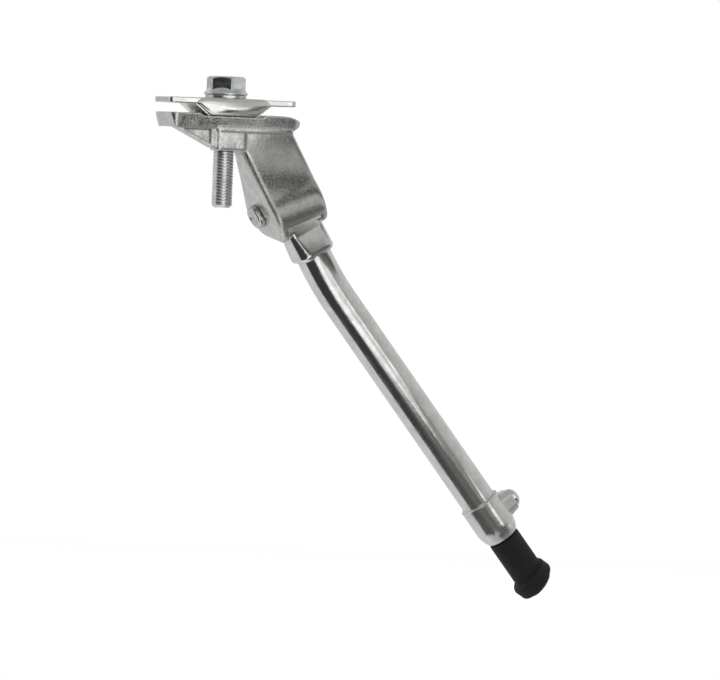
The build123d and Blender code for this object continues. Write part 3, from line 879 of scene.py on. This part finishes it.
@dataclass
class PivotRivet:
    """Rivet with a headed face that a round punch has spread."""

    line: LegLine
    seat: float = 14.05
    shank: float = 7.5
    head_dia: float = 11.8
    head_height: float = 3.2
    dimple_dia: float = 7.4
    dimple_depth: float = 1.5
    dimple_rim: float = 0.35
    dents: int = 4
    dent_depth: float = 0.9
    tail_dia: float = 11.0
    tail_height: float = 1.6
    tail_foot: float = 0.1
    tail_dome: Stops = ((0.35, 0.94), (0.65, 0.78), (0.88, 0.5), (1.0, 0.2))
    head_foot: Pair = (0.15, 0.3)
    head_edge: Stops = ((0.0, 0.9), (0.22, 0.4), (0.7, 0.08), (1.2, 0.0))
    sides: int = 80
    sharp: float = 38.0
    dent_power: int = 6
    dent_fade: float = 0.6
    dimple_power: float = 1.4
    dimple_sink: float = 0.1
    dimple_rings: tuple[float, ...] = (1.0, 0.85, 0.7, 0.55, 0.4, 0.25, 0.12)

    def head_face(self, angle: float, share: float) -> Pair:
        """Radius and height of the punched dimple at an angle.

        Args:
            angle: Angle round the rivet.
            share: Share of the dimple's radius.

        Returns:
            The radius and the height.
        """
        radius = self.dimple_dia / 2 * share
        spread = max(0.0, cos(self.dents * angle / 2)) ** self.dent_power
        dent = spread * self.dent_depth * share * (1 - self.dent_fade * share)
        slope = self.dimple_depth * (1 - share**self.dimple_power)
        return radius, self.seat + self.head_height - self.dimple_sink - slope - dent

    def outline(self, angle: float) -> Stops:
        """Outline of the rivet, from its tail to the dimple in its head.

        Args:
            angle: Angle round the rivet.

        Returns:
            Radius and height of each ring there.
        """
        head, bar, tail = self.head_dia / 2, self.shank / 2, self.tail_dia / 2
        crest = self.seat + self.head_height
        inset, step = self.head_foot
        rings = [(tail * out, -self.seat - self.tail_height * low) for out, low in self.tail_dome]
        rings += [(tail - self.tail_foot, -self.seat), (bar, -self.seat), (bar, self.seat)]
        rings += [(head - inset, self.seat), (head, self.seat + step)]
        rings += [(head - inward, crest - down) for inward, down in self.head_edge]
        rings.append((self.dimple_dia / 2 + self.dimple_rim, crest))
        return rings + [self.head_face(angle, share) for share in self.dimple_rings]

    def build(self, finish: Material) -> None:
        """Builds the rivet.

        Args:
            finish: Plain steel.
        """
        low, high = -self.seat - self.tail_height, self.head_face(0.0, 0.0)[1]
        place = self.line.place(self.line.pivot, FORWARD, -self.line.across())
        mesh = skin("punched_rivet", turned(self.sides, self.outline, low, high), place, self.sharp)
        rivet = place_object("punched_rivet", mesh, finish)
        fit(rivet, Body.BRACKET, Slot.RIVET, "pivot_rivet")


@dataclass
class Detent:
    """Spring behind the plunger that holds the leg in place."""

    line: LegLine
    forward: float = 9.5
    start: float = -3.11
    coil: float = 2.77
    wire: float = 1.1
    pitch: float = 3.6
    turns: float = 4.5
    stroke: float = 2.0
    steps: int = 36
    wire_sides: int = 12

    def spring_tree(self) -> ShapeTree:
        """Builds the tree that winds a round wire.

        Returns:
            The tree.
        """
        shape = ShapeTree("wound_spring", ("Coil", "Wire", "Height", "Turns"), vectors=("Place", "Turn"))
        graph, given = shape.graph, shape.given
        inputs = {"Rotations": "Turns", "Start Radius": "Coil", "End Radius": "Coil", "Height": "Height"}
        wind = {name: given[size] for name, size in inputs.items()}
        helix = graph.node("GeometryNodeCurveSpiral", {"Resolution": self.steps, **wind})
        shape.end(shape.smooth(graph.sweep(helix, given["Wire"], self.wire_sides)), placed=True)
        return shape

    def build(self, finish: Material) -> None:
        """Builds the spring and dresses the plunger.

        Args:
            finish: Plain steel.
        """
        height = self.pitch * self.turns
        along = self.line.along()
        base = self.line.pivot + FORWARD * self.forward + along * self.start
        place = self.line.place(base, self.line.across(), along)
        sizes = {
            "Coil": self.coil * MM, "Wire": self.wire / 2 * MM, "Height": height * MM,
            "Turns": self.turns, "Place": place.translation * MM, "Turn": Vector(place.to_euler()),
        }
        empty = bpy.data.meshes.new("spring_start")
        spring = self.spring_tree().grow("wound_spring", empty, sizes, finish)
        fit(spring, Body.LEG, Slot.RIVET, "detent_spring")
        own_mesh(spring)
        dress("detent_plunger", finish)


@dataclass
class CastLeg:
    """Polished leg with the thin line that its mould left."""

    line: LegLine
    tube_dia: float = 17.4
    line_start: float = 30.5
    line_end: float = 134.8
    line_width: float = 0.5
    line_proud: float = 0.05
    sides: tuple[float, ...] = (-10.0, 168.0)
    line_step: float = 2.0
    bend_steps: int = 10
    bead_sides: int = 8

    def path(self, side: float) -> list[Vector]:
        """Points along the leg's surface, through its rounded bend.

        Args:
            side: Angle round the tube, 0 in front, positive to the right.

        Returns:
            Points in millimetres.
        """
        line = self.line
        turn = radians(line.bend_angle)
        run = line.bend_radius * tan(turn / 2)
        marks = [(line.top() + line.along() * self.line_start, 0.0)]
        centre = line.bend() - line.along() * run + line.across() * line.bend_radius
        for step in range(self.bend_steps + 1):
            angle = turn * step / self.bend_steps
            lean = radians(line.lean) + angle
            marks.append((centre - Vector((cos(lean), 0, sin(lean))) * line.bend_radius, angle))
        marks.append((line.bend() + line.along(True) * self.line_end, turn))
        reach = self.tube_dia / 2 + self.line_proud - self.line_width / 2
        points = []
        for mark, angle in marks:
            lean = radians(line.lean) + angle
            outward = Vector((cos(lean), 0, sin(lean))) * sin(side) + FORWARD * cos(side)
            points.append(mark + outward * reach)
        return points

    def seam_tree(self) -> ShapeTree:
        """Builds the tree that lays a thin round bead along a path.

        Returns:
            The tree.
        """
        shape = ShapeTree("mould_line", ("Width", "Step"))
        graph, given = shape.graph, shape.given
        curve = graph.node("GeometryNodeMeshToCurve", {"Mesh": given["Geometry"]})
        inputs = {"Curve": curve, "Length": given["Step"]}
        even = graph.node("GeometryNodeResampleCurve", inputs, mode="LENGTH")
        radius = graph.calc("MULTIPLY", given["Width"], 0.5)
        shape.end(shape.smooth(graph.sweep(even, radius, self.bead_sides)))
        return shape

    def build(self, finish: Material) -> None:
        """Dresses the leg and lays its mould lines.

        Args:
            finish: Polished alloy.
        """
        dress("leg", finish)
        seam = self.seam_tree()
        for number, side in enumerate(self.sides, start=1):
            path = self.path(radians(side))
            edges = [(spot, spot + 1) for spot in range(len(path) - 1)]
            sizes = {"Width": self.line_width * MM, "Step": self.line_step * MM}
            start = plain_mesh("leg_path", path, edges)
            bead = seam.grow(f"leg_mould_line_{number}", start, sizes, finish)
            fit(bead, Body.LEG, Slot.LEG)


@dataclass
class RubberFoot:
    """Rubber foot with ribs round its sole."""

    line: LegLine
    sole_place: float = 179.8
    sole_shift: float = 1.0
    tilt: float = 19.0
    sole_dia: float = 20.8
    rim: float = 6.8
    dome: float = 3.0
    first_rib: float = 2.4
    rib_step: float = 2.3
    ribs: int = 3
    rib_width: float = 1.2
    ring_steps: int = 64
    rib_sides: int = 10

    def tread_tree(self) -> ShapeTree:
        """Builds the tree that repeats rings on a domed sole.

        Returns:
            The tree.
        """
        sizes = ("First", "Step", "Width", "Ball", "Crown")
        shape = ShapeTree("sole_ribs", sizes, ("Count",), ("Place", "Turn"))
        graph, given = shape.graph, shape.given
        marks = graph.node("GeometryNodeMeshLine", {"Count": given["Count"], "Offset": (0, 0, 0)})
        index = graph.node("GeometryNodeInputIndex")
        radius = graph.calc("ADD", given["First"], graph.calc("MULTIPLY", index, given["Step"]))
        inputs = {"Resolution": self.ring_steps, "Radius": 1.0}
        circle = graph.node("GeometryNodeCurvePrimitiveCircle", inputs)
        inputs = {"Points": marks, "Instance": circle.outputs["Curve"], "Scale": radius}
        rings = graph.node("GeometryNodeInstanceOnPoints", inputs)
        real = graph.node("GeometryNodeRealizeInstances", {"Geometry": rings})
        half = graph.calc("MULTIPLY", given["Width"], 0.5)
        ribs = graph.sweep(real, half, self.rib_sides, caps=False)
        spot = graph.node("GeometryNodeInputPosition")
        flat = graph.vector_calc("MULTIPLY", spot.outputs[0], (1, 1, 0))
        out = graph.vector_calc("LENGTH", flat, output="Value")
        squares = [graph.calc("POWER", size, 2.0) for size in (given["Ball"], out)]
        height = graph.calc("SQRT", graph.calc("SUBTRACT", *squares))
        fall = graph.calc("SUBTRACT", height, given["Ball"])
        lift = graph.node("CombineXYZ", {"Z": graph.calc("ADD", fall, given["Crown"])})
        raised = graph.node("GeometryNodeSetPosition", {"Geometry": ribs, "Offset": lift})
        shape.end(shape.smooth(raised), placed=True)
        return shape

    def build(self, finish: Material) -> None:
        """Dresses the foot and adds the ribs on its sole.

        Args:
            finish: Moulded rubber.
        """
        dress("rubber_foot", finish)
        across = self.line.across(True)
        along = self.line.along(True)
        base = self.line.bend() + along * self.sole_place - across * self.sole_shift
        tilt = radians(self.tilt)
        facing = along * cos(tilt) + across * sin(tilt)
        sideways = across * cos(tilt) - along * sin(tilt)
        place = self.line.place(base, sideways, facing)
        half = self.sole_dia / 2
        sizes = {
            "Count": self.ribs, "First": self.first_rib * MM, "Step": self.rib_step * MM,
            "Width": self.rib_width * MM, "Ball": (half**2 + self.dome**2) / (2 * self.dome) * MM,
            "Crown": (self.rim + self.dome) * MM, "Place": place.translation * MM,
            "Turn": Vector(place.to_euler()),
        }
        empty = bpy.data.meshes.new("tread_start")
        tread = self.tread_tree().grow("sole_ribs", empty, sizes, finish)
        fit(tread, Body.ROD, Slot.RUBBER)


@dataclass
class ShadeCard:
    """Soft oval card, in millimetres, that only reflections see.

    Its greys run along its second half axis, and its core is the share that is fully covered.
    """

    name: str
    centre: Vector
    half_a: Vector
    half_b: Vector
    levels: Stops
    core: float
    warm: float = 0.005

    def hang(self) -> None:
        """Hangs the card in the scene."""
        material, graph = new_material(self.name)
        place = graph.node("TexCoord").outputs["Object"]
        away = graph.vector_calc("SUBTRACT", place, self.centre * MM)
        parts = []
        for half in (self.half_a, self.half_b):
            scale = half / half.length_squared / MM
            parts.append(graph.vector_calc("DOT_PRODUCT", away, scale, output="Value"))
        squares = [graph.calc("POWER", part, 2.0) for part in parts]
        cover = graph.span(graph.calc("SQRT", graph.calc("ADD", *squares)), 1.0, self.core)
        along = graph.calc("ADD", graph.calc("MULTIPLY", parts[1], 0.5), 0.5)
        shades = graph.ramp(along, self.levels, self.warm)
        shown = graph.node("Emission", {"Color": shades, "Strength": 1.0})
        clear = graph.node("BsdfTransparent")
        surface = graph.node("MixShader", {0: cover, 1: clear, 2: shown})
        graph.node("OutputMaterial", {"Surface": surface})
        signs = ((-1, -1), (1, -1), (1, 1), (-1, 1))
        corners = [self.centre + self.half_a * a + self.half_b * b for a, b in signs]
        card = place_object(self.name, plain_mesh(self.name, corners, faces=[(0, 1, 2, 3)]), material)
        card.visible_camera = False
        card.visible_diffuse = False
        card.visible_transmission = False
        card.visible_shadow = False


@dataclass
class Studio:
    """White studio: camera, floor, soft lamps and surroundings.

    The room's greys go by bearing, from behind the object round to behind it again, with the camera
    in the middle. Its spans are sines of the height where one part of the room passes into the next.
    """

    aim: Vector = Vector((63.9, -28.5, -107.6))
    azimuth: float = -24.0
    roll: float = 2.2
    distance: float = 12.0
    view_width: float = 0.3512
    sensor: float = 36.0
    floor_radius: float = 2.4
    floor_drop: float = 0.4
    floor_tone: Colour = grey(0.4)
    floor_glow: float = 0.72
    floor_sides: int = 96
    low_spot: Pair = (175.0, -150.0)
    low_half: Pair = (175.0, 190.0)
    low_shade: Stops = ((0, 0.15), (1, 0.15))
    leg_spot: Vector = Vector((122.0, -8.0, -172.0))
    leg_facing: Vector = Vector((0.342, -0.94, 0))
    leg_reach: float = 70.0
    leg_half: tuple[Vector, float] = (Vector((28.0, 10.0, 0)), -75.0)
    leg_shade: Stops = ((0, 0.26), (1, 0.34))
    lamp_size: float = 0.9
    front: Vector = Vector((48.0, -10.0, -35.0))
    front_shift: float = 5.0
    front_half: Pair = (52.0, 40.0)
    neck_reach: float = 60.0
    housing_reach: float = 22.0
    neck_bands: Stops = ((0.0, 0.42), (0.2, 0.42), (0.3, 0.8), (0.42, 0.18), (0.54, 0.45), (0.65, 0.2))
    housing_bands: Stops = (
        (0.0, 0.22), (0.2, 0.1), (0.26, 0.3), (0.32, 0.5), (0.42, 0.58), (0.46, 0.4), (0.5, 0.09),
        (0.57, 0.09), (0.62, 0.4), (0.72, 0.46), (0.79, 0.15), (0.9, 0.15), (1.0, 0.4),
    )
    walls: Stops = (
        (0.0, 0.4), (0.035, 0.5), (0.13, 0.5), (0.18, 0.72), (0.28, 0.72), (0.31, 0.03), (0.45, 0.03),
        (0.472, 1.2), (0.642, 1.2), (0.668, 0.3), (0.71, 0.3), (0.755, 0.75), (0.86, 0.55), (0.965, 0.55),
        (1.0, 0.4),
    )
    upper: Stops = (
        (0.0, 0.45), (0.05, 0.72), (0.25, 0.72), (0.3, 0.3), (0.48, 0.6), (0.6, 1.0), (0.65, 0.48, 0.01),
        (0.72, 0.55, 0.01), (0.8, 0.62, 0.01), (0.92, 0.68, 0.01), (1.0, 0.45),
    )
    ground: Stops = (
        (0.0, 0.45), (0.035, 0.7), (0.28, 0.7), (0.318, 0.045), (0.497, 0.05), (0.54, 1.25),
        (0.598, 1.25), (0.62, 0.06), (0.67, 0.08), (0.7, 0.3, 0.01), (0.8, 0.45), (0.965, 0.55),
        (1.0, 0.45),
    )
    nadir: Colour = grey(0.85)
    ceiling: Colour = grey(0.45, 0.015)
    daylight: Colour = grey(0.62)
    nadir_span: Pair = (-0.93, -0.8)
    wall_span: Pair = (-0.12, -0.03)
    upper_span: Pair = (0.06, 0.18)
    ceiling_span: Pair = (0.5, 0.8)

    def towards(self) -> Vector:
        """Direction from the object to the camera."""
        angle = radians(self.azimuth)
        return Vector((sin(angle), -cos(angle), 0))

    def rightwards(self) -> Vector:
        """Direction to the right in the picture, before the roll."""
        return self.towards().cross(UP) * -1

    def camera(self) -> None:
        """Sets the camera at the photograph's viewing angle."""
        roll = radians(self.roll)
        side = self.rightwards()
        right = side * cos(roll) + UP * sin(roll)
        upward = UP * cos(roll) - side * sin(roll)
        back = self.towards()
        data = bpy.data.cameras.new("camera")
        data.sensor_width = self.sensor
        data.lens = self.sensor * self.distance / self.view_width
        camera = place_object("camera", data)
        axes = Matrix((right, upward, back)).transposed()
        camera.matrix_world = Matrix.Translation(self.aim * MM + back * self.distance) @ axes.to_4x4()
        bpy.context.scene.camera = camera

    def floor(self) -> None:
        """Lays a plain pale floor under the foot."""
        level = CAD_BOX[0][2] - self.floor_drop * MM
        form = bmesh.new()
        bmesh.ops.create_circle(form, cap_ends=True, radius=self.floor_radius, segments=self.floor_sides)
        form.transform(Matrix.Translation((0, 0, level)))
        mesh = bpy.data.meshes.new("floor")
        form.to_mesh(mesh)
        form.free()
        material, graph = new_material("pale_floor")
        matte = graph.node("BsdfDiffuse", {"Color": self.floor_tone})
        glow = graph.node("Emission", {"Color": grey(1.0), "Strength": self.floor_glow})
        both = graph.node("AddShader", {0: matte, 1: glow})
        graph.node("OutputMaterial", {"Surface": both})
        floor = place_object("floor", mesh, material)
        floor.visible_glossy = False

    def shade_cards(self) -> None:
        """Hangs a card on the floor, two before the neck and housing and one by the lower leg."""
        mirrored = self.towards() * Vector((-1, 1, 1))
        sideways = Vector((-mirrored.y, mirrored.x, 0))
        front = self.front + sideways * self.front_shift
        neck, housing = front + mirrored * self.neck_reach, front + mirrored * self.housing_reach
        wide, high = sideways * self.front_half[0], UP * self.front_half[1]
        low = Vector((*self.low_spot, CAD_BOX[0][2] / MM))
        low_a, low_b = Vector((self.low_half[0], 0, 0)), Vector((0, self.low_half[1], 0))
        side = self.leg_spot + self.leg_facing * self.leg_reach
        side_a, side_b = self.leg_half[0], LegLine().along(True) * self.leg_half[1]
        cards = (
            ShadeCard("floor_card", low, low_a, low_b, self.low_shade, core=0.45),
            ShadeCard("neck_card", neck, wide, high, self.neck_bands, core=0.85),
            ShadeCard("housing_card", housing, wide, high, self.housing_bands, core=0.85),
            ShadeCard("side_card", side, side_a, side_b, self.leg_shade, core=0.55),
        )
        for card in cards:
            card.hang()

    def lamps(self) -> None:
        """Hangs the studio's soft square lamps."""
        back, side = self.towards(), self.rightwards()
        rows = (
            ("key_lamp", back * 0.5 - side * 0.8 + UP * 0.9, 1.8, 14.0),
            ("fill_lamp", back * 0.2 + side * 1.0 + UP * 0.5, 1.9, 7.0),
        )
        for name, direction, reach, watts in rows:
            data = bpy.data.lights.new(name, "AREA")
            data.energy = watts
            data.size = self.lamp_size
            lamp = place_object(name, data)
            lamp.location = self.aim * MM + direction.normalized() * reach
            lamp.rotation_euler = direction.to_track_quat("Z", "Y").to_euler()
            lamp.visible_glossy = False

    def surroundings(self) -> None:
        """Paints the room: white walls, with the darker side that the camera stands on."""
        world = bpy.data.worlds.new("studio")
        bpy.context.scene.world = world
        world.use_nodes = True
        world.node_tree.nodes.clear()
        graph = Graph(world.node_tree)
        way = graph.node("TexCoord").outputs["Generated"]
        ahead = graph.vector_calc("DOT_PRODUCT", way, self.towards(), output="Value")
        sideways = graph.vector_calc("DOT_PRODUCT", way, self.rightwards(), output="Value")
        height = graph.node("SeparateXYZ", {0: way}).outputs["Z"]
        bearing = graph.calc("DIVIDE", graph.calc("ARCTAN2", sideways, ahead), TURN)
        bearing = graph.calc("ADD", bearing, 0.5)
        tones = (self.walls, self.upper, self.ground)
        walls, upper, ground = (graph.ramp(bearing, levels) for levels in tones)
        ground = graph.blend(graph.span(height, *self.nadir_span), self.nadir, ground)
        sides = graph.blend(graph.span(height, *self.wall_span), ground, walls)
        sides = graph.blend(graph.span(height, *self.upper_span), sides, upper)
        room = graph.blend(graph.span(height, *self.ceiling_span), sides, self.ceiling)
        rays = graph.node("LightPath").outputs
        mirrored = graph.calc("MAXIMUM", rays["Is Glossy Ray"], rays["Is Transmission Ray"])
        lit = graph.blend(mirrored, self.daylight, room)
        shown = graph.blend(rays["Is Camera Ray"], lit, grey(1.0))
        sky = graph.node("Background", {"Color": shown, "Strength": 1.0})
        graph.node("OutputWorld", {"Surface": sky})

    def build(self) -> None:
        """Sets up the whole studio."""
        self.camera()
        self.floor()
        self.shade_cards()
        self.lamps()
        self.surroundings()
        bpy.context.scene.view_settings.view_transform = "Standard"
        log.info("studio is set")


def main() -> None:
    """Builds every sub-assembly and dresses the CAD nodes."""
    logging.basicConfig(level=logging.INFO, format="%(name)s: %(message)s")
    EffectLibrary().build()
    steel = STEEL.material()
    line = LegLine()
    Studio().build()
    dress("bracket", CAST.material())
    PivotRivet(line).build(steel)
    ClampPlate().build(PLATED.material())
    ClampBolt().build(ZINC.material())
    CastLeg(line).build(POLISHED.material())
    Detent(line).build(steel)
    dress("clamp_screw", CHROME.material())
    dress("inner_leg", DRAWN.material())
    RubberFoot(line).build(RUBBER.material())


if __name__ == "__main__":
    main()
